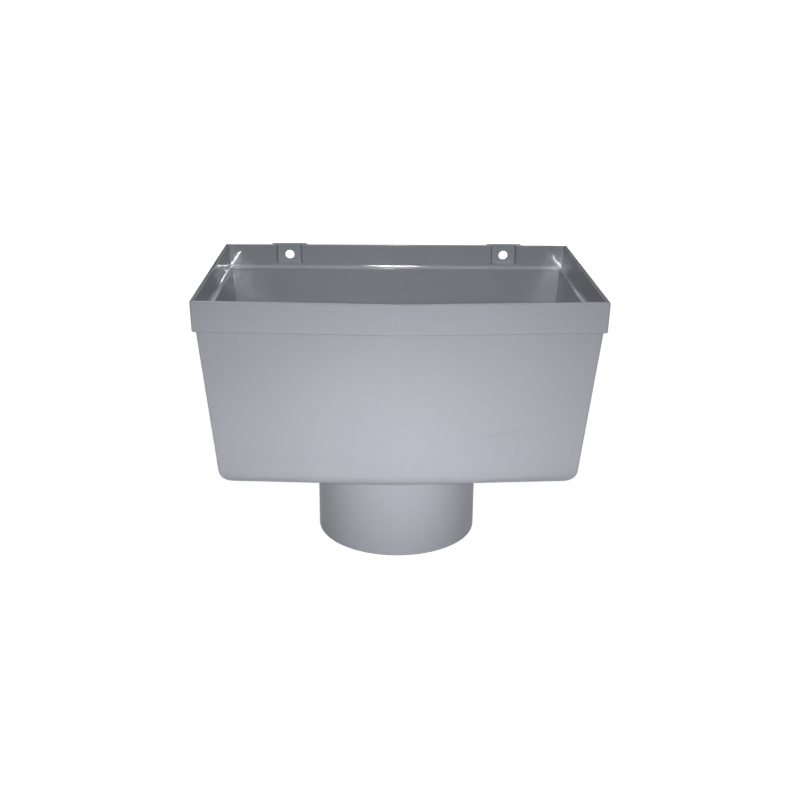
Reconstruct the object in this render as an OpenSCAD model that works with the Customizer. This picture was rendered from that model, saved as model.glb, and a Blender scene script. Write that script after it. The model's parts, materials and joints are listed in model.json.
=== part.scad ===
// Downpipe hopper head: an open, tapered box with a stepped rim, a plain outlet spigot under its
// floor and two screw lugs set back behind its rim, moulded in one piece.
// The origin is the middle of the spigot's lower end. X runs along the wall and Y towards it.

/* [Body] */
// Width of the floor, measured to where the side walls would meet it
floor_w = 206; // [140:1:300]
// Floor left between the spigot and the back edge
back_gap = 8; // [5:0.5:40]
// Floor left between the spigot and the front corners
front_gap = 20; // [8:0.5:60]
// Height from the underside of the floor to the top of the rim
body_h = 113.5; // [70:0.5:180]
// Thickness of the walls and the floor
wall = 2.5; // [1.5:0.1:4]
// How far each side wall leans out between the floor and the rim
side_flare = 6.8; // [1:0.1:25]
// How far the back wall leans out between the floor and the rim
back_flare = 1.8; // [0.5:0.1:15]
// How far the front wall leans out between the floor and the rim
front_flare = 15.3; // [2:0.1:40]
// How far the middle of the front stands out beyond its ends
prow = 6.5; // [2:0.5:20]
// Outside rounding of the edges around the floor; the edge behind the spigot may have less
floor_r = 10; // [4:0.5:12]
// Rounding of the four upright corners
corner_r = 1.5; // [0.5:0.1:3]
// Rounding of the crease down the middle of the front
crease_r = 20; // [5:1:40]

/* [Rim] */
// Height of the rim band
rim_h = 17; // [15:0.5:30]
// How far the rim band stands out from the body all round
rim_step = 2.2; // [1:0.1:4]
// How much the rim band tapers in towards its lower edge
rim_draft = 0.3; // [0.1:0.1:0.8]
// Rounding of the rim's lower edge
lip_r = 0.8; // [0.3:0.1:1.5]
// Rounding of the step inside the rim
ledge_r = 0.8; // [0.2:0.1:1.5]

/* [Outlet spigot] */
// Outside diameter of the spigot
spigot_d = 100; // [60:1:130]
// Length of the spigot below the floor
spigot_len = 56.5; // [30:0.5:120]
// Thickness of the spigot's wall
spigot_wall = 2.8; // [1.5:0.1:5]
// Chamfer around the mouth of the outlet, in the floor
mouth_chamfer = 1.2; // [0.3:0.1:2]

/* [Fixing lugs] */
// Distance between the two screw holes
screw_spacing = 141; // [80:1:180]
// Diameter of each screw hole
screw_d = 6; // [3:0.1:8]
// Depth of the screw holes below the top of the rim
screw_drop = 7.3; // [5:0.1:9]
// How far the lugs stand behind the rim
lug_depth = 4; // [2:0.1:12]
// Width of the face of a lug that meets the wall
lug_face_w = 22.5; // [16:0.5:30]
// Width of a lug where it joins the rim
lug_root_w = 23.5; // [20:0.5:40]
// Rounding of a lug's upright corners
lug_r = 0.6; // [0.5:0.1:3]
// Width of a lug's pocket at its back
pocket_face_w = 15; // [10:0.5:24]
// Width of a pocket where it opens into the rim
pocket_root_w = 16.5; // [12:0.5:32]
// Depth of a pocket below the top of the rim
pocket_h = 13; // [11:0.1:14.5]
// Rounding of the upright corners at the back of a pocket
pocket_r = 0.8; // [0.2:0.1:2]

/* [Hidden] */
$fn = 96;
// How far cuts run past the faces that they open
over = 1;
// Gap that keeps the flanks of a rounded corner clear of the walls beside it
hair = 0.01;
// Most of the step's width that each of its two rounds may take
step_share = 0.45;

floor_z = spigot_len;
top_z = floor_z + body_h;
step_z = top_z - rim_h;
ledge_z = step_z + wall;
floor_front = spigot_d / 2 + front_gap;
floor_back = spigot_d / 2 + back_gap;
rim_w = floor_w + 2 * (side_flare + rim_step);
rim_back = floor_back + back_flare + rim_step;
bore_d = spigot_d - 2 * spigot_wall;
// A lug is as high as its pocket and the wall below it, and leaves a wall at each side of the pocket
lug_h = min(pocket_h + wall, rim_h);
pocket_back = min(pocket_face_w, lug_face_w - 2 * wall);
pocket_mouth = min(pocket_root_w, lug_root_w - 2 * wall);
// The edge behind the spigot is rounded no further than the spigot
back_r = min(floor_r, back_gap - 1);
// Angle that each half of the front is turned from the wall behind
prow_a = atan(prow / (rim_w / 2));
front_off = floor_front * cos(prow_a) + floor_w / 2 * sin(prow_a);
// Far enough to run past everything
reach = rim_w + front_off + rim_back + top_z;

// The walls in turn: the way each faces, how far its floor edge lies from the spigot's axis, how far
// it leans out, and the rounding of its floor edge
WALLS = [
    [0, floor_w / 2, side_flare, floor_r],
    [90, floor_back, back_flare, back_r],
    [180, floor_w / 2, side_flare, floor_r],
    [270 - prow_a, front_off, front_flare, floor_r],
    [270 + prow_a, front_off, front_flare, floor_r],
];
// Rounding between each wall and the next
UPRIGHT_R = [corner_r, corner_r, corner_r, crease_r, corner_r];

// Distance of a wall's outer face from the spigot's axis at height z, below the step and in the rim
function body_off(w, z) = w[1] + w[2] * (z - floor_z) / (step_z - floor_z);
function rim_off(w, z) = w[1] + w[2] + rim_step - rim_draft * (top_z - z) / rim_h;
// The same for the inner face of the body
function inside_off(w, z) = body_off(w, z) - wall / cos(lean([body_off(w, floor_z), floor_z],
    [body_off(w, step_z), step_z]));
// Angle from upright of the line between two points of a section
function lean(low, high) = atan((high[0] - low[0]) / (high[1] - low[1]));

function unit(v) = v / norm(v);
function flat(p) = [p[0], p[1]];
function to_last(pts, i) = unit(flat(pts[(i + len(pts) - 1) % len(pts)]) - flat(pts[i]));
function to_next(pts, i) = unit(flat(pts[(i + 1) % len(pts)]) - flat(pts[i]));
function half_angle(pts, i) = acos(to_last(pts, i) * to_next(pts, i)) / 2;
function turns_left(pts, i) = cross(to_next(pts, i), to_last(pts, i)) > 0;
function arc_centre(pts, i) = flat(pts[i])
    + unit(to_last(pts, i) + to_next(pts, i)) * pts[i][2] / sin(half_angle(pts, i));
function cut_corner(pts, i) = let (back = pts[i][2] / tan(half_angle(pts, i)))
    [flat(pts[i]) + to_last(pts, i) * back, flat(pts[i]) + to_next(pts, i) * back];

// An outline from points [x, y, rounding], listed anticlockwise
module rounded_outline(pts) {
    round_ones = [for (i = [0:len(pts) - 1]) if (pts[i][2] > 0) i];
    difference() {
        union() {
            polygon([for (i = [0:len(pts) - 1])
                each pts[i][2] > 0 ? cut_corner(pts, i) : [flat(pts[i])]]);
            for (i = round_ones)
                if (turns_left(pts, i))
                    translate(arc_centre(pts, i)) circle(pts[i][2]);
        }
        for (i = round_ones)
            if (!turns_left(pts, i))
                translate(arc_centre(pts, i)) circle(pts[i][2]);
    }
}

// A section carried along a wall that faces the given way
module along_wall(way, section) {
    rotate([90, 0, way])
        linear_extrude(height = 2 * reach, center = true)
            rounded_outline(section);
}

// Where two walls cross in plan, from the way each faces and its distance
function crossing(way_a, off_a, way_b, off_b) = [
    (off_a * sin(way_b) - off_b * sin(way_a)) / sin(way_b - way_a),
    (off_b * cos(way_a) - off_a * cos(way_b)) / sin(way_b - way_a),
];
// The outward direction of a wall that faces the given way and leans
function outward(way, a) = [cos(a) * cos(way), cos(a) * sin(way), -sin(a)];

// All that lies inside the rounded corner between two leaning walls that meet at foot
module in_corner(out_a, out_b, foot, r) {
    along = unit(cross(out_a, out_b));
    inward = -unit(out_a + out_b);
    across = cross(along, inward);
    half = 90 - acos(out_a * out_b) / 2;
    tip = -hair / sin(half);
    multmatrix([for (k = [0:2]) [inward[k], across[k], along[k], foot[k]]])
        linear_extrude(height = 2 * reach, center = true)
            rounded_outline([
                [tip, 0, r],
                [tip + reach * cos(half), -reach * sin(half), 0],
                [2 * reach, -reach * sin(half), 0],
                [2 * reach, reach * sin(half), 0],
                [tip + reach * cos(half), reach * sin(half), 0],
            ]);
}

// A solid between two heights, from one [distance low, distance high, rounding low] for each wall
module tray(offs, low_z, high_z) {
    outs = [for (i = [0:len(WALLS) - 1])
        outward(WALLS[i][0], lean([offs[i][0], low_z], [offs[i][1], high_z]))];
    intersection() {
        intersection_for(i = [0:len(WALLS) - 1])
            along_wall(WALLS[i][0], [
                [-reach, low_z, 0],
                [offs[i][0], low_z, offs[i][2]],
                [offs[i][1], high_z, 0],
                [-reach, high_z, 0],
            ]);
        intersection_for(i = [0:len(WALLS) - 1]) {
            j = (i + 1) % len(WALLS);
            foot = crossing(WALLS[i][0], offs[i][0], WALLS[j][0], offs[j][0]);
            in_corner(outs[i], outs[j], [foot[0], foot[1], low_z], UPRIGHT_R[i]);
        }
    }
}

// The outside of the box, with its rim band
module outer_form() {
    tray([for (w = WALLS) [body_off(w, floor_z), body_off(w, ledge_z), w[3]]], floor_z, ledge_z);
    tray([for (w = WALLS) [rim_off(w, step_z), rim_off(w, top_z), lip_r]], step_z, top_z);
}

// The inside of the box, which steps out behind the rim band
module cavity() {
    low_z = floor_z + wall;
    high_z = top_z + over;
    step_r = min(ledge_r, step_share * (rim_step - rim_draft));
    intersection_for(w = WALLS)
        along_wall(w[0], [
            [-reach, low_z, 0],
            [inside_off(w, low_z), low_z, max(w[3] - wall, hair)],
            [inside_off(w, ledge_z), ledge_z, step_r],
            [rim_off(w, ledge_z) - wall, ledge_z, step_r],
            [rim_off(w, high_z) - wall, high_z, 0],
            [-reach, high_z, 0],
        ]);
}

// Plan of a lug or of its pocket, from its root back to its face
module lug_plan(root_w, root_y, face_w, face_y, r) {
    rounded_outline([
        [-root_w / 2, root_y - over, 0],
        [root_w / 2, root_y - over, 0],
        [root_w / 2, root_y, 0],
        [face_w / 2, face_y, r],
        [-face_w / 2, face_y, r],
        [-root_w / 2, root_y, 0],
    ]);
}

module lug() {
    translate([0, 0, top_z - lug_h])
        linear_extrude(height = lug_h)
            lug_plan(lug_root_w, rim_back, lug_face_w, rim_back + lug_depth, lug_r);
}

// The pocket in a lug, and the screw hole through its back
module lug_cuts() {
    translate([0, 0, top_z - pocket_h])
        linear_extrude(height = pocket_h + over)
            lug_plan(pocket_mouth, rim_back - wall, pocket_back, rim_back + lug_depth - wall, pocket_r);
    translate([0, rim_back + lug_depth + over, top_z - screw_drop])
        rotate([90, 0, 0])
            cylinder(d = screw_d, h = wall + 2 * over);
}

// The way out through the floor and the spigot
module outlet() {
    translate([0, 0, -over])
        cylinder(d = bore_d, h = floor_z + wall + 2 * over);
    translate([0, 0, floor_z + wall - mouth_chamfer])
        cylinder(d1 = bore_d, d2 = bore_d + 2 * (mouth_chamfer + over), h = mouth_chamfer + over);
}

module at_lugs() {
    for (side = [-1, 1])
        translate([side * screw_spacing / 2, 0, 0])
            children();
}

module hopper_head() {
    color([0.69, 0.70, 0.73])
        difference() {
            union() {
                outer_form();
                cylinder(d = spigot_d, h = floor_z + wall);
                at_lugs() lug();
            }
            cavity();
            outlet();
            at_lugs() lug_cuts();
        }
}

hopper_head();
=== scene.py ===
import json
from math import atan, atan2, cos, hypot, radians, sin, tan

import bmesh
import bpy
from mathutils import Matrix, Vector


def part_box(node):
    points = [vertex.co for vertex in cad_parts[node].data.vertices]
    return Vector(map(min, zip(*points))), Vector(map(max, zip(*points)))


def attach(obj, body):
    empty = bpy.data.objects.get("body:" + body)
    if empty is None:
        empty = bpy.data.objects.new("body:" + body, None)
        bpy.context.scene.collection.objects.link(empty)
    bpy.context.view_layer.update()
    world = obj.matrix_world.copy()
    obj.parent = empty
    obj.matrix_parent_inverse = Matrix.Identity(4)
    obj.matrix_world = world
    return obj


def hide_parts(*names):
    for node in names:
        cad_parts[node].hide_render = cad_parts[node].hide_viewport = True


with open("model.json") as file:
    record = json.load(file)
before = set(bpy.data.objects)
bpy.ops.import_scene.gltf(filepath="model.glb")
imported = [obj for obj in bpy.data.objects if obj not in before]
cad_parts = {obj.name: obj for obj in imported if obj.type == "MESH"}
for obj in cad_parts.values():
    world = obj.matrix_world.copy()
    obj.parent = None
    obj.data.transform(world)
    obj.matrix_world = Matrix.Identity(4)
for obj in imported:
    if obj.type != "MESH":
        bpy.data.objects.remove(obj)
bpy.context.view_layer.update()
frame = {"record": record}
boxLow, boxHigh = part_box("hopper_head")
mounts = {m["name"]: m for m in frame["record"]["mounts"]}
mm = 0.001
hair = 0.01 * mm  # as good as touching
sharpTurn = 32  # degrees: edges that turn more are rounded, or drawn sharp
print("frame loaded, box", *[[round(v / mm, 1) for v in corner] for corner in (boxLow, boxHigh)])


def onlyThis(obj):
    bpy.ops.object.select_all(action="DESELECT")
    obj.select_set(True)
    bpy.context.view_layer.objects.active = obj


def editThis(obj):
    onlyThis(obj)
    bpy.ops.object.mode_set(mode="EDIT")


def leaveEdit():
    bpy.ops.object.mode_set(mode="OBJECT")


def pick(obj, kind, test):
    bpy.ops.mesh.select_mode(type=kind)
    bpy.ops.mesh.select_all(action="DESELECT")
    bm = bmesh.from_edit_mesh(obj.data)
    bm.normal_update()
    found = [p for p in {"EDGE": bm.edges, "FACE": bm.faces}[kind] if test(p)]
    for p in found:
        p.select_set(True)
    bm.select_flush_mode()
    bmesh.update_edit_mesh(obj.data)
    return len(found)


def roundPicked(width, steps):
    bpy.ops.mesh.bevel(offset=width, offset_type="OFFSET", segments=steps, profile=0.5,
                       affect="EDGES", clamp_overlap=False, loop_slide=True)


def mergeMesh():
    bpy.ops.mesh.select_mode(type="VERT")
    bpy.ops.mesh.select_all(action="SELECT")
    bpy.ops.mesh.remove_doubles(threshold=0.002 * mm)
    bpy.ops.mesh.normals_make_consistent(inside=False)


def boolean(obj, tool, action):
    onlyThis(obj)
    cut = obj.modifiers.new(action.lower(), "BOOLEAN")
    cut.object = tool
    cut.operation = action
    cut.solver = "EXACT"
    bpy.ops.object.modifier_apply(modifier=cut.name)
    bpy.data.objects.remove(tool)


def atHeight(e, z):
    return all(abs(v.co.z - z) < hair for v in e.verts)


def onMiddle(e):
    return all(abs(v.co.x) < hair for v in e.verts)


def sharp(e):
    return len(e.link_faces) == 2 and e.calc_face_angle(0) > radians(sharpTurn)


# the box: its walls stand at a distance from the spigot's axis at the floor and lean out from there
tray = {
    "wall": 2.5 * mm,
    "rimHigh": 17 * mm,
    "rimStep": 2.2 * mm,
    "rimDraft": 0.3 * mm,
    "sideFlare": 6.8 * mm,
    "backFlare": 1.8 * mm,
    "frontFlare": 15.3 * mm,
    "backGap": 8 * mm,
    "frontGap": 20 * mm,
    "prow": 6.5 * mm,
    "floorRound": 10 * mm,
    "backRound": 7 * mm,
    "floorSteps": 8,
    "cornerRound": 1.5 * mm,
    "cornerSteps": 6,
    "innerRound": 0.4 * mm,
    "innerSteps": 4,
    "creaseRound": 1.25 * mm,
    "creaseSteps": 5,
    "lipRound": 0.8 * mm,
    "stepRound": 0.4 * mm,
    "stepThick": 1.9 * mm,
    # out and up, above the ledge at the sides, the back and the front
    "fillets": [(0.3 * mm, 0.3 * mm), (1.2 * mm, 2 * mm), (0.3 * mm, 0.3 * mm)],
    "filletSteps": 10,
    "ledgeRound": 0.25 * mm,
    "edgeRound": 0.4 * mm,
    "edgeSteps": 4,
    "cornerLong": 30 * mm,  # no edge of a corner runs further than this sideways
    "cornerAside": 50 * mm,  # all corners are further out than this
}
spigotR = mounts["outlet_spigot"]["dims"]["r_mm"] * mm
floorZ = mounts["outlet_spigot"]["dims"]["length_mm"] * mm
rimTop = boxHigh[2]
stepZ = rimTop - tray["rimHigh"]
ledgeZ = stepZ + tray["stepThick"]
floorHalf = boxHigh[0] - tray["sideFlare"] - tray["rimStep"]
floorBack = spigotR + tray["backGap"]
rimBack = floorBack + tray["backFlare"] + tray["rimStep"]
prowTurn = atan(tray["prow"] / boxHigh[0])
floorFront = (spigotR + tray["frontGap"]) * cos(prowTurn) + floorHalf * sin(prowTurn)
# side, back and front: distance at the floor, lean outwards, round at the foot
walls = [
    (floorHalf, tray["sideFlare"], tray["floorRound"]),
    (floorBack, tray["backFlare"], tray["backRound"]),
    (floorFront, tray["frontFlare"], tray["floorRound"]),
]


def bodyOut(z):
    return [d + flare * (z - floorZ) / (stepZ - floorZ) for d, flare, r in walls]


def rimOut(z, wall=0):
    draft = tray["rimDraft"] * (rimTop - z) / tray["rimHigh"]
    return [d + flare + tray["rimStep"] - draft - wall for d, flare, r in walls]


def insideOut(z):
    high = stepZ - floorZ
    return [out - tray["wall"] * hypot(flare, high) / high
            for out, (d, flare, r) in zip(bodyOut(z), walls)]


def footOut(z, low, outs, less):
    # the same along the round at the foot of each wall
    found = []
    for out, foot, (d, flare, r) in zip(outs(z), outs(low), walls):
        lean = atan(flare / (stepZ - floorZ))
        r = r - less
        drop = low + r - z
        middle = foot - r * tan((radians(90) - lean) / 2)
        found.append(middle + (max(r * r - drop * drop, 0) ** 0.5) if drop > r * sin(lean) else out)
    return found


def footHeights(low, r):
    steps = tray["floorSteps"]
    return [low + r * (1 - cos(radians(90) * k / steps)) for k in range(steps + 1)]


def frontLine(x, front):
    return (abs(x) * sin(prowTurn) - front) / cos(prowTurn)


def pullRing(obj, z, out):
    # puts the picked ring on the lines of the walls at that height
    bm = bmesh.from_edit_mesh(obj.data)
    side, back, front = out
    for v in [v for v in bm.verts if v.select]:
        x = 0 if abs(v.co.x) < hair else side * (1 if v.co.x > 0 else -1)
        y = back if v.co.y > 0 else frontLine(x, front)
        v.co = (x, y, z)
    bmesh.update_edit_mesh(obj.data)


def insideHere(p):
    # on the cavity's side of the walls, above the middle of the floor's thickness
    half = tray["wall"] / 2
    low = floorZ + tray["wall"]
    if p.z > ledgeZ - half:
        side, back, front = rimOut(p.z, half)
    else:
        side, back, front = [d + half for d in footOut(max(p.z, low), low, insideOut, tray["wall"])]
    return p.z > floorZ + half and abs(p.x) < side and frontLine(p.x, front) < p.y < back


def makeTray():
    bpy.ops.object.select_all(action="DESELECT")
    bpy.ops.mesh.primitive_plane_add(size=2 * floorHalf)
    obj = bpy.context.object
    obj.name = "hopper_moulding"
    bpy.ops.object.mode_set(mode="EDIT")
    bpy.ops.mesh.select_all(action="SELECT")
    bpy.ops.mesh.bisect(plane_co=(0, 0, 0), plane_no=(1, 0, 0))
    bpy.ops.mesh.select_all(action="SELECT")
    outer, inner = floorZ, floorZ + tray["wall"]
    pullRing(obj, outer, footOut(outer, outer, bodyOut, 0))
    # up the outside from the floor, over the rim, and down the inside to the floor again
    rings = [(z, footOut(z, outer, bodyOut, 0)) for z in footHeights(outer, tray["floorRound"])[1:]]
    rings += [
        (stepZ, bodyOut(stepZ)),
        (stepZ, rimOut(stepZ)),
        (rimTop, rimOut(rimTop)),
        (rimTop, rimOut(rimTop, tray["wall"])),
    ]
    # the rim's inner face runs out into the ledge, at the back in a longer round
    tallest = max(up for out, up in tray["fillets"])
    for k in range(tray["filletSteps"] + 1):
        above = tallest * (1 - sin(radians(90) * k / tray["filletSteps"]))
        z = ledgeZ + above
        rings.append((z, [wide - out * (1 - (1 - max(1 - above / up, 0) ** 2) ** 0.5)
                          for wide, (out, up) in zip(rimOut(z, tray["wall"]), tray["fillets"])]))
    rings.append((ledgeZ, insideOut(ledgeZ)))
    rings += [(z, footOut(z, inner, insideOut, tray["wall"]))
              for z in reversed(footHeights(inner, tray["floorRound"] - tray["wall"]))]
    for z, out in rings:
        bpy.ops.mesh.extrude_region_move()
        pullRing(obj, z, out)
    mergeMesh()

    def runsUp(e):
        d = e.verts[0].co - e.verts[1].co
        return abs(d.x) < tray["cornerLong"] and abs(d.y) < tray["cornerLong"]

    def corner(e, within):
        return runsUp(e) and all(abs(v.co.x) > tray["cornerAside"] and insideHere(v.co) == within
                                 for v in e.verts)

    for within, width, steps in (
        (False, tray["cornerRound"], tray["cornerSteps"]),
        (True, tray["innerRound"], tray["innerSteps"]),
    ):
        print("  corner edges", pick(obj, "EDGE", lambda e: corner(e, within)))
        roundPicked(width, steps)
    pick(obj, "EDGE", lambda e: runsUp(e) and onMiddle(e) and all(v.co.y < 0 for v in e.verts))
    roundPicked(tray["creaseRound"], tray["creaseSteps"])
    mergeMesh()
    leaveEdit()
    return obj


spigot = {
    "wall": 2.8 * mm,
    "sides": 192,
    "rootRound": 1.0 * mm,
    "mouthRound": 1.2 * mm,
    "endRound": 0.6 * mm,
    "roundSteps": 4,
    "boreOver": 20 * mm,
}


def addSpigot(obj):
    def post(radius, low, high):
        bpy.ops.object.select_all(action="DESELECT")
        bpy.ops.mesh.primitive_cylinder_add(vertices=spigot["sides"], radius=radius, depth=high - low,
                                            location=(0, 0, (low + high) / 2))
        return bpy.context.object

    boreR = spigotR - spigot["wall"]
    boolean(obj, post(spigotR, 0, floorZ + tray["wall"] / 2), "UNION")
    over = spigot["boreOver"]
    boolean(obj, post(boreR, -over, floorZ + over), "DIFFERENCE")
    editThis(obj)
    mergeMesh()

    def onCircle(e, radius, z):
        return atHeight(e, z) and all(abs(hypot(v.co.x, v.co.y) - radius) < 5 * hair for v in e.verts)

    for radius, z, width in (
        (spigotR, floorZ, spigot["rootRound"]),
        (boreR, floorZ + tray["wall"], spigot["mouthRound"]),
        (spigotR, 0, spigot["endRound"]),
        (boreR, 0, spigot["endRound"]),
    ):
        count = pick(obj, "EDGE", lambda e: onCircle(e, radius, z))
        roundPicked(width, spigot["roundSteps"])
        print("  circle", round(radius / mm, 1), round(z / mm, 1), count)
    mergeMesh()
    leaveEdit()


lugs = {
    "rootWide": 23.5 * mm,
    "faceWide": 22.5 * mm,
    "faceRound": 0.6 * mm,
    "pocketMouth": 16.5 * mm,
    "pocketWide": 15 * mm,
    "pocketDeep": 12.5 * mm,
    "pocketRound": 0.8 * mm,
    "faceSteps": 5,
    "pocketSteps": 4,
    "bossReach": 1 * mm,  # into the rim
    "pocketReach": 4 * mm,  # into the box
    "pocketOver": 5 * mm,  # above the rim
    "holeSides": 48,
    "holeLong": 12 * mm,
}
lugBack = boxHigh[1]
screwX = mounts["wall_screws"]["dims"]["spacing_x_mm"] * mm / 2
screwZ = mounts["wall_screws"]["pos_m"][2]
screwR = mounts["wall_screws"]["dims"]["hole_r_mm"] * mm


def taperedBlock(rootWide, faceWide, front, back, low, high, upright, steps):
    bpy.ops.object.select_all(action="DESELECT")
    bpy.ops.mesh.primitive_cube_add(size=1, location=(screwX, (front + back) / 2, (low + high) / 2))
    obj = bpy.context.object
    obj.scale = (rootWide, back - front, high - low)
    bpy.ops.object.transform_apply(location=True, rotation=True, scale=True)
    bpy.ops.object.mode_set(mode="EDIT")
    pick(obj, "FACE", lambda f: f.normal.y > 0.9)
    bpy.ops.transform.resize(value=(faceWide / rootWide, 1, 1), center_override=(screwX, back, high))
    pick(obj, "EDGE", lambda e: all(abs(v.co.y - back) < hair for v in e.verts)
         and abs(e.verts[0].co.z - e.verts[1].co.z) > 1 * mm)
    roundPicked(upright, steps)
    leaveEdit()
    return obj


def bothSides(obj):
    # a copy with its own mesh at the other screw, joined so that one cut makes both
    onlyThis(obj)
    bpy.ops.object.duplicate(linked=False)
    bpy.ops.object.mode_set(mode="EDIT")
    bpy.ops.mesh.select_all(action="SELECT")
    bpy.ops.transform.translate(value=(-2 * screwX, 0, 0))
    leaveEdit()
    obj.select_set(True)
    bpy.context.view_layer.objects.active = obj
    bpy.ops.object.join()
    return obj


def addLugs(obj):
    wall = tray["wall"]
    deep = lugBack - rimBack
    low = rimTop - lugs["pocketDeep"]
    reach = lugs["bossReach"]
    slope = (lugs["rootWide"] - lugs["faceWide"]) / deep
    boss = taperedBlock(lugs["rootWide"] + slope * reach, lugs["faceWide"], rimBack - reach, lugBack,
                        low - wall, rimTop, lugs["faceRound"], lugs["faceSteps"])
    boolean(obj, bothSides(boss), "UNION")
    reach = lugs["pocketReach"]
    slope = (lugs["pocketMouth"] - lugs["pocketWide"]) / deep
    pocket = taperedBlock(lugs["pocketMouth"] + slope * reach, lugs["pocketWide"],
                          rimBack - wall - reach, lugBack - wall,
                          low, rimTop + lugs["pocketOver"], lugs["pocketRound"], lugs["pocketSteps"])
    boolean(obj, bothSides(pocket), "DIFFERENCE")
    bpy.ops.object.select_all(action="DESELECT")
    bpy.ops.mesh.primitive_cylinder_add(vertices=lugs["holeSides"], radius=screwR,
                                        depth=lugs["holeLong"], location=(screwX, lugBack, screwZ),
                                        rotation=(radians(90), 0, 0))
    hole = bpy.context.object
    bpy.ops.object.transform_apply(location=True, rotation=True, scale=True)
    boolean(obj, bothSides(hole), "DIFFERENCE")


def roundRim(obj):
    def lowInside(e):
        return all(insideHere(v.co) and v.co.z < ledgeZ + 1 * mm for v in e.verts)

    editThis(obj)
    mergeMesh()
    # the step under the rim and the ledge inside it
    for z, convex, width in (
        (stepZ, True, tray["lipRound"]),
        (stepZ, False, tray["stepRound"]),
        (ledgeZ, True, tray["ledgeRound"]),
    ):
        count = pick(obj, "EDGE", lambda e: atHeight(e, z) and sharp(e) and e.is_convex == convex)
        roundPicked(width, tray["edgeSteps"])
        print("  rim edges at", round(z / mm, 1), count)
    # all that is still sharp: the rim's top, the lugs, their pockets and holes
    print("  sharp edges left", pick(obj, "EDGE", lambda e: sharp(e) and not lowInside(e)))
    roundPicked(tray["edgeRound"], tray["edgeSteps"])
    mergeMesh()
    leaveEdit()


moulding = makeTray()
print("tray made", len(moulding.data.polygons), "faces")
addSpigot(moulding)
print("spigot joined", len(moulding.data.polygons), "faces")
addLugs(moulding)
print("lugs joined", len(moulding.data.polygons), "faces")
roundRim(moulding)
print("rim rounded", len(moulding.data.polygons), "faces")

onlyThis(moulding)
bpy.ops.object.shade_smooth_by_angle(angle=radians(sharpTurn))
weighted = moulding.modifiers.new("even normals", "WEIGHTED_NORMAL")
weighted.keep_sharp = True
weighted.weight = 80
bpy.ops.object.modifier_apply(modifier=weighted.name)

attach(moulding, "root")
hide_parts("hopper_head")
print("moulding placed")


def nodeTree(owner):
    owner.use_nodes = True
    tree = owner.node_tree
    tree.nodes.clear()
    return tree


def addNode(tree, kind, place, **settings):
    node = tree.nodes.new(kind)
    node.location = place
    for name, value in settings.items():
        if name in node.inputs:
            node.inputs[name].default_value = value
        else:
            setattr(node, name, value)
    return node


pvc = {
    "colour": (0.417, 0.432, 0.476, 1),
    "paler": (0.433, 0.448, 0.494, 1),
    # paler colour for the edge rounds and the crease: wear, and painted highlight
    "wornHighlit": (0.500, 0.515, 0.555, 1),
    # darker colour for the flow line and the scuff, and for a painted groove shade
    "dullAndShade": (0.360, 0.372, 0.410, 1),
    "cloudScale": 16,
    "grainScale": 260,
    "waveScale": 45,
    "patchScale": 140,
    "grainShare": 0.5,
    "waveShare": 3,
    "roughVary": 0.1,
    "bumpDeep": 0.05 * mm,
    "outside": {"rough": 0.5, "gloss": 0.2, "bump": 0.35, "wearHighlight": 0.3},
    "inside": {"rough": 0.04, "gloss": 0.6, "bump": 0.01, "wearHighlight": 0},
    "rimTop": {"rough": 0.5, "gloss": 0.03, "bump": 0.35, "wearHighlight": 0},
    "edgeWide": 0.5 * mm,
    "creaseWide": 6 * mm,
    "markDeep": 25 * mm,
}
# faint marks, real ones and painted light: from, to and half width in mm, strength, which colour
frontMarks = [
    ((-87, -75, 73.7), (-22, -75, 74.8), 1.3, 0.33, "dullAndShade"),
    ((42, -78, 88.1), (78, -78, 96.3), 2.4, 0.33, "dullAndShade"),
    # painted highlight down the prow's crease on the rim
    ((-0.7, -94, 171), (-0.7, -94, 153), 0.6, 0.35, "wornHighlit"),
]
# painted shade of a small groove in the back rim
backGrooveShade = [((0.5, 63, 165.5), (0.6, 63, 160.5), 0.5, 1.0, "dullAndShade")]


def addMark(tree, place, patchy, colour, mark):
    # a soft line on one wall, broken up a little, over the colour so far
    start, end, wide, strength, paint = mark
    link = tree.links.new
    run = (Vector(end) - Vector(start)) * mm
    at = addNode(tree, "ShaderNodeMapping", (-900, -600), vector_type="TEXTURE")
    at.inputs["Location"].default_value = Vector(start) * mm
    at.inputs["Rotation"].default_value = (0, -atan2(run.z, run.x), 0)
    at.inputs["Scale"].default_value = (run.length, pvc["markDeep"], wide * mm)
    parts = addNode(tree, "ShaderNodeSeparateXYZ", (-700, -600))
    link(place, at.inputs["Vector"])
    link(at.outputs["Vector"], parts.inputs[0])
    middle = addNode(tree, "ShaderNodeMath", (-500, -500), operation="SUBTRACT")
    middle.inputs[1].default_value = 0.5
    link(parts.outputs["X"], middle.inputs[0])
    amount = patchy
    for socket, near, far in (
        (middle.outputs[0], 0.25, 0.5),
        (parts.outputs["Y"], 0.9, 1),
        (parts.outputs["Z"], 0, 1),
    ):
        size = addNode(tree, "ShaderNodeMath", (-300, -600), operation="ABSOLUTE")
        fade = addNode(tree, "ShaderNodeMapRange", (-100, -600), interpolation_type="SMOOTHSTEP")
        fade.inputs["From Min"].default_value = near
        fade.inputs["From Max"].default_value = far
        fade.inputs["To Min"].default_value = 1
        fade.inputs["To Max"].default_value = 0
        both = addNode(tree, "ShaderNodeMath", (100, -600), operation="MULTIPLY")
        link(socket, size.inputs[0])
        link(size.outputs[0], fade.inputs["Value"])
        link(fade.outputs["Result"], both.inputs[0])
        link(amount, both.inputs[1])
        amount = both.outputs[0]
    much = addNode(tree, "ShaderNodeMath", (250, -600), operation="MULTIPLY")
    much.inputs[1].default_value = strength
    over = addNode(tree, "ShaderNodeMix", (400, -600), data_type="RGBA")
    over.inputs[7].default_value = pvc[paint]
    link(amount, much.inputs[0])
    link(much.outputs[0], over.inputs[0])
    link(colour, over.inputs[6])
    return over.outputs[2]


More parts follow.
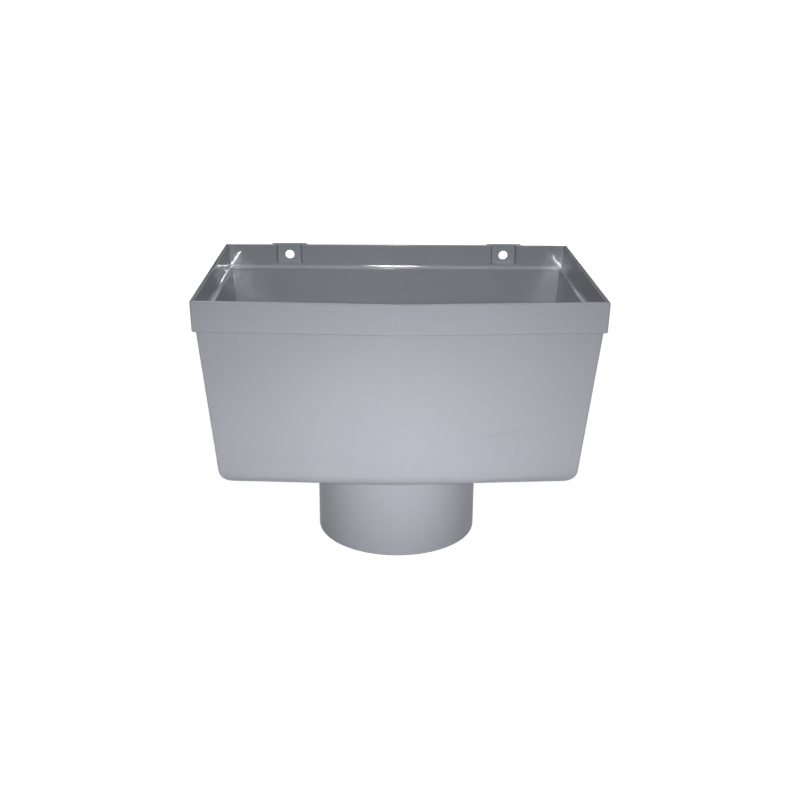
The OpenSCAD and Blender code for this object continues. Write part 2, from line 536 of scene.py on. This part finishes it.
def makePvc(name, look, marks):
    mat = bpy.data.materials.new(name)
    tree = nodeTree(mat)
    link = tree.links.new
    place = addNode(tree, "ShaderNodeTexCoord", (-1400, 0)).outputs["Object"]

    def noise(scale, detail, high):
        node = addNode(tree, "ShaderNodeTexNoise", (-1100, high), Scale=scale, Detail=detail)
        link(place, node.inputs["Vector"])
        return node.outputs[0]

    def between(socket, low, high, toLow, toHigh, y):
        node = addNode(tree, "ShaderNodeMapRange", (-850, y))
        for key, value in (("From Min", low), ("From Max", high), ("To Min", toLow), ("To Max", toHigh)):
            node.inputs[key].default_value = value
        link(socket, node.inputs["Value"])
        return node.outputs["Result"]

    cloud = noise(pvc["cloudScale"], 3, 400)
    grain = noise(pvc["grainScale"], 4, 150)
    wave = noise(pvc["waveScale"], 2, -100)
    patchNoise = noise(pvc["patchScale"], 3, -350)

    # pigment: wide soft clouds with a fine grain over them
    tone = addNode(tree, "ShaderNodeMath", (-650, 300), operation="MULTIPLY_ADD")
    tone.inputs[1].default_value = pvc["grainShare"]
    link(between(grain, 0.3, 0.7, -0.5, 0.5, 150), tone.inputs[0])
    link(between(cloud, 0.35, 0.65, 0, 1, 400), tone.inputs[2])
    base = addNode(tree, "ShaderNodeMix", (-400, 300), data_type="RGBA")
    base.inputs[6].default_value = pvc["colour"]
    base.inputs[7].default_value = pvc["paler"]
    link(tone.outputs[0], base.inputs[0])

    # paler, duller along the small rounded edges: rubbed wear, with a painted highlight on the rounds
    edge = addNode(tree, "ShaderNodeAttribute", (-1100, -600), attribute_name="edge")
    wornHighlit = addNode(tree, "ShaderNodeMath", (-650, -350), operation="MULTIPLY")
    link(edge.outputs["Fac"], wornHighlit.inputs[0])
    link(between(patchNoise, 0.4, 0.65, 0, look["wearHighlight"], -350), wornHighlit.inputs[1])
    rubbedHighlit = addNode(tree, "ShaderNodeMix", (-150, 200), data_type="RGBA")
    rubbedHighlit.inputs[7].default_value = pvc["wornHighlit"]
    link(wornHighlit.outputs[0], rubbedHighlit.inputs[0])
    link(base.outputs[2], rubbedHighlit.inputs[6])
    colour = rubbedHighlit.outputs[2]
    patchy = between(patchNoise, 0.3, 0.6, 0.5, 1, -500)
    for mark in marks:
        colour = addMark(tree, place, patchy, colour, mark)

    rough = addNode(tree, "ShaderNodeMath", (100, 0), operation="ADD")
    low, high = look["rough"] * (1 - pvc["roughVary"]), look["rough"] * (1 + pvc["roughVary"])
    link(between(wave, 0.3, 0.7, low, high, 0), rough.inputs[0])
    link(wornHighlit.outputs[0], rough.inputs[1])

    height = addNode(tree, "ShaderNodeMath", (100, -250), operation="MULTIPLY_ADD")
    height.inputs[1].default_value = pvc["waveShare"]
    link(wave, height.inputs[0])
    link(grain, height.inputs[2])
    bump = addNode(tree, "ShaderNodeBump", (300, -250))
    bump.inputs["Strength"].default_value = look["bump"]
    bump.inputs["Distance"].default_value = pvc["bumpDeep"]
    link(height.outputs[0], bump.inputs["Height"])

    shader = addNode(tree, "ShaderNodeBsdfPrincipled", (650, 0))
    shader.inputs["IOR"].default_value = 1.5
    shader.inputs["Specular IOR Level"].default_value = look["gloss"]
    link(colour, shader.inputs["Base Color"])
    link(rough.outputs[0], shader.inputs["Roughness"])
    link(bump.outputs["Normal"], shader.inputs["Normal"])
    out = addNode(tree, "ShaderNodeOutputMaterial", (950, 0))
    link(shader.outputs["BSDF"], out.inputs["Surface"])
    return mat


def noteEdges(obj):
    # the narrow faces of the small rounds, where the wear and the painted edge highlight go; the crease
    # stays out
    mesh = obj.data
    note = mesh.attributes.new("edge", "FLOAT", "FACE")
    for face in mesh.polygons:
        corners = [mesh.vertices[i].co for i in face.vertices]
        longest = max((a - b).length for a, b in zip(corners, corners[1:] + corners[:1]))
        narrow = face.area < longest * pvc["edgeWide"] and abs(face.center.x) > pvc["creaseWide"]
        note.data[face.index].value = 1.0 if narrow else 0.0


def sideTop(f):
    c = f.calc_center_median()
    inwards = boxHigh[0] - tray["wall"] - 0.5 * mm
    return f.normal.z > 0.5 and c.z > rimTop - tray["edgeRound"] and abs(c.x) > inwards


noteEdges(moulding)
moulding.data.materials.clear()
moulding.data.materials.append(makePvc("pvc_outside", pvc["outside"], frontMarks))
moulding.data.materials.append(makePvc("pvc_inside", pvc["inside"], backGrooveShade))
moulding.data.materials.append(makePvc("pvc_rim_top", pvc["rimTop"], []))
editThis(moulding)
for slot, test in ((1, lambda f: insideHere(f.calc_center_median())), (2, sideTop)):
    print("  faces of finish", slot, pick(moulding, "FACE", test))
    moulding.active_material_index = slot
    bpy.ops.object.material_slot_assign()
leaveEdit()
print("pvc made")

stage = {
    "floor": 40.0,
    "backHigh": 1.2,
    "colour": (0.30, 0.30, 0.30, 1),
    "glow": 0.93,
    "near": 0.25,
    "far": 0.6,
    "fill": 0.005,
}


def whiteSeen(tree, x, y):
    # 1 where the eye, a mirror or glass looks, 0 for the light that falls on things
    path = addNode(tree, "ShaderNodeLightPath", (x, y))
    seen = path.outputs["Is Camera Ray"]
    for step, ray in enumerate(("Is Glossy Ray", "Is Transmission Ray")):
        most = addNode(tree, "ShaderNodeMath", (x + 200 + 150 * step, y), operation="MAXIMUM")
        tree.links.new(seen, most.inputs[0])
        tree.links.new(path.outputs[ray], most.inputs[1])
        seen = most.outputs[0]
    return seen


def makeStage():
    bpy.ops.object.select_all(action="DESELECT")
    bpy.ops.mesh.primitive_plane_add(size=stage["floor"])
    floor = bpy.context.object
    floor.name = "studio_floor"
    bpy.ops.object.mode_set(mode="EDIT")
    half = stage["floor"] / 2
    pick(floor, "EDGE", lambda e: all(v.co.y > half - 1 * mm for v in e.verts))
    bpy.ops.mesh.extrude_region_move(TRANSFORM_OT_translate={"value": (0, 0, stage["backHigh"])})
    leaveEdit()
    mat = bpy.data.materials.new("pale_floor")
    tree = nodeTree(mat)
    link = tree.links.new
    out = addNode(tree, "ShaderNodeOutputMaterial", (900, 0))
    both = addNode(tree, "ShaderNodeAddShader", (700, 0))
    paint = addNode(tree, "ShaderNodeBsdfDiffuse", (400, 120))
    paint.inputs["Color"].default_value = stage["colour"]
    glow = addNode(tree, "ShaderNodeEmission", (400, -120))
    level = addNode(tree, "ShaderNodeMath", (240, -120), operation="MULTIPLY")
    # a little less glow around the part, so that its shadow stays
    place = addNode(tree, "ShaderNodeTexCoord", (-400, -320))
    away = addNode(tree, "ShaderNodeVectorMath", (-200, -320), operation="LENGTH")
    glowing = addNode(tree, "ShaderNodeMapRange", (0, -320))
    glowing.inputs["From Min"].default_value = stage["near"]
    glowing.inputs["From Max"].default_value = stage["far"]
    glowing.inputs["To Min"].default_value = stage["glow"]
    link(place.outputs["Object"], away.inputs[0])
    link(away.outputs["Value"], glowing.inputs["Value"])
    link(glowing.outputs["Result"], level.inputs[1])
    link(whiteSeen(tree, -300, -120), level.inputs[0])
    link(level.outputs[0], glow.inputs["Strength"])
    link(paint.outputs[0], both.inputs[0])
    link(glow.outputs[0], both.inputs[1])
    link(both.outputs[0], out.inputs["Surface"])
    floor.data.materials.append(mat)


makeStage()

# power in watts, size in metres, place and aim in mm, spread in degrees
lamps = {
    "flash": {"power": 0.825, "size": 0.05, "at": (15, -655, 335), "aim": (0, -60, 105), "spread": 130},
    "inside_spot": {"power": 0.0118, "size": 0.08, "at": (0, -500, 600), "aim": (0, 55, 140),
                    "spread": 26, "colour": (0.87, 1, 0.89), "unseenBy": "glossy"},
    "glint": {"power": 0.40, "size": 0.036, "at": (-8, -655, 276), "aim": (0, 55, 160),
              "unseenBy": "diffuse"},
    # these three stand at both sides
    "rear_box": {"power": 1.2, "size": (0.5, 0.14), "at": (600, 800, 90), "aim": (0, 0, 90)},
    "back_box": {"power": 3.8, "size": (0.3, 0.13), "at": (420, 1000, 85), "aim": (0, 0, 85)},
    "side_beam": {"power": 0.013, "size": (0.16, 0.09), "at": (500, -12, 118), "aim": (0, -12, 118),
                  "spread": 16},
    "top_box": {"power": 1.0, "size": 0.3, "at": (0, 0, 1000), "aim": (0, 0, 0), "unseenBy": "glossy"},
}
# low cards in front, all unseen in the gloss
cards = [
    {"power": 0.0252, "size": (0.20, 0.06), "at": (0, -600, 90), "aim": (0, -80, 75), "spread": 32},
    {"power": 0.0545, "size": (0.45, 0.05), "at": (0, -450, 45), "aim": (0, -80, 70), "spread": 60},
    {"power": 0.0134, "size": (0.12, 0.05), "at": (-60, -600, 50), "aim": (-54, -80, 70), "spread": 28},
    {"power": 0.0134, "size": (0.12, 0.05), "at": (60, -600, 50), "aim": (54, -80, 70), "spread": 28},
]


def addLamp(name, look, side=1):
    data = bpy.data.lights.new(name, "AREA")
    data.energy = look["power"]
    data.color = look.get("colour", (1, 1, 1))
    data.spread = radians(look.get("spread", 180))
    if isinstance(look["size"], tuple):
        data.shape = "RECTANGLE"
        data.size, data.size_y = look["size"]
    else:
        data.shape = "DISK"
        data.size = look["size"]
    lamp = bpy.data.objects.new(name, data)
    bpy.context.scene.collection.objects.link(lamp)
    x, y, z = look["at"]
    lamp.location = Vector((side * x, y, z)) * mm
    run = Vector(look["aim"]) * mm - lamp.location
    lamp.rotation_euler = run.to_track_quat("-Z", "Y").to_euler()
    lamp.visible_camera = False
    if "unseenBy" in look:
        setattr(lamp, "visible_" + look["unseenBy"], False)


for name in ("flash", "inside_spot", "glint"):
    addLamp(name, lamps[name])
for card in cards:
    addLamp("low_card", {**card, "unseenBy": "glossy"})
for side in (-1, 1):
    for name in ("rear_box", "back_box", "side_beam"):
        addLamp(name, lamps[name], side)
addLamp("top_box", lamps["top_box"])

world = bpy.data.worlds.new("studio")
bpy.context.scene.world = world
tree = nodeTree(world)
level = addNode(tree, "ShaderNodeMapRange", (-180, 0))
level.inputs["To Min"].default_value = stage["fill"]
level.inputs["To Max"].default_value = 1.0
sky = addNode(tree, "ShaderNodeBackground", (0, 0))
sky.inputs["Color"].default_value = (1, 1, 1, 1)
out = addNode(tree, "ShaderNodeOutputWorld", (200, 0))
tree.links.new(whiteSeen(tree, -700, 0), level.inputs["Value"])
tree.links.new(level.outputs["Result"], sky.inputs["Strength"])
tree.links.new(sky.outputs[0], out.inputs["Surface"])
print("lamps placed")

# angles in degrees, focal length and sensor in mm
lens = {
    "place": (-11.26 * mm, -649.51 * mm, 318.20 * mm),
    "turn": 1.15,
    "down": 19.85,
    "roll": 0.51,
    "focal": 49.237,
    "sensor": 36,
    "nearest": 0.01,
}
camData = bpy.data.cameras.new("camera")
camData.lens = lens["focal"]
camData.sensor_width = lens["sensor"]
camData.clip_start = lens["nearest"]
camera = bpy.data.objects.new("camera", camData)
bpy.context.scene.collection.objects.link(camera)
aim = Matrix.Identity(3)
for degrees, axis in ((-lens["turn"], "Z"), (90 - lens["down"], "X"), (lens["roll"], "Z")):
    aim = aim @ Matrix.Rotation(radians(degrees), 3, axis)
camera.rotation_euler = aim.to_euler()
camera.location = lens["place"]
bpy.context.scene.camera = camera
bpy.context.scene.view_settings.view_transform = "Standard"
# the flash mirrored in the glossy walls keeps its edges
bpy.context.scene.cycles.blur_glossy = 0
bpy.context.scene.cycles.sample_clamp_indirect = 0
print("camera placed")
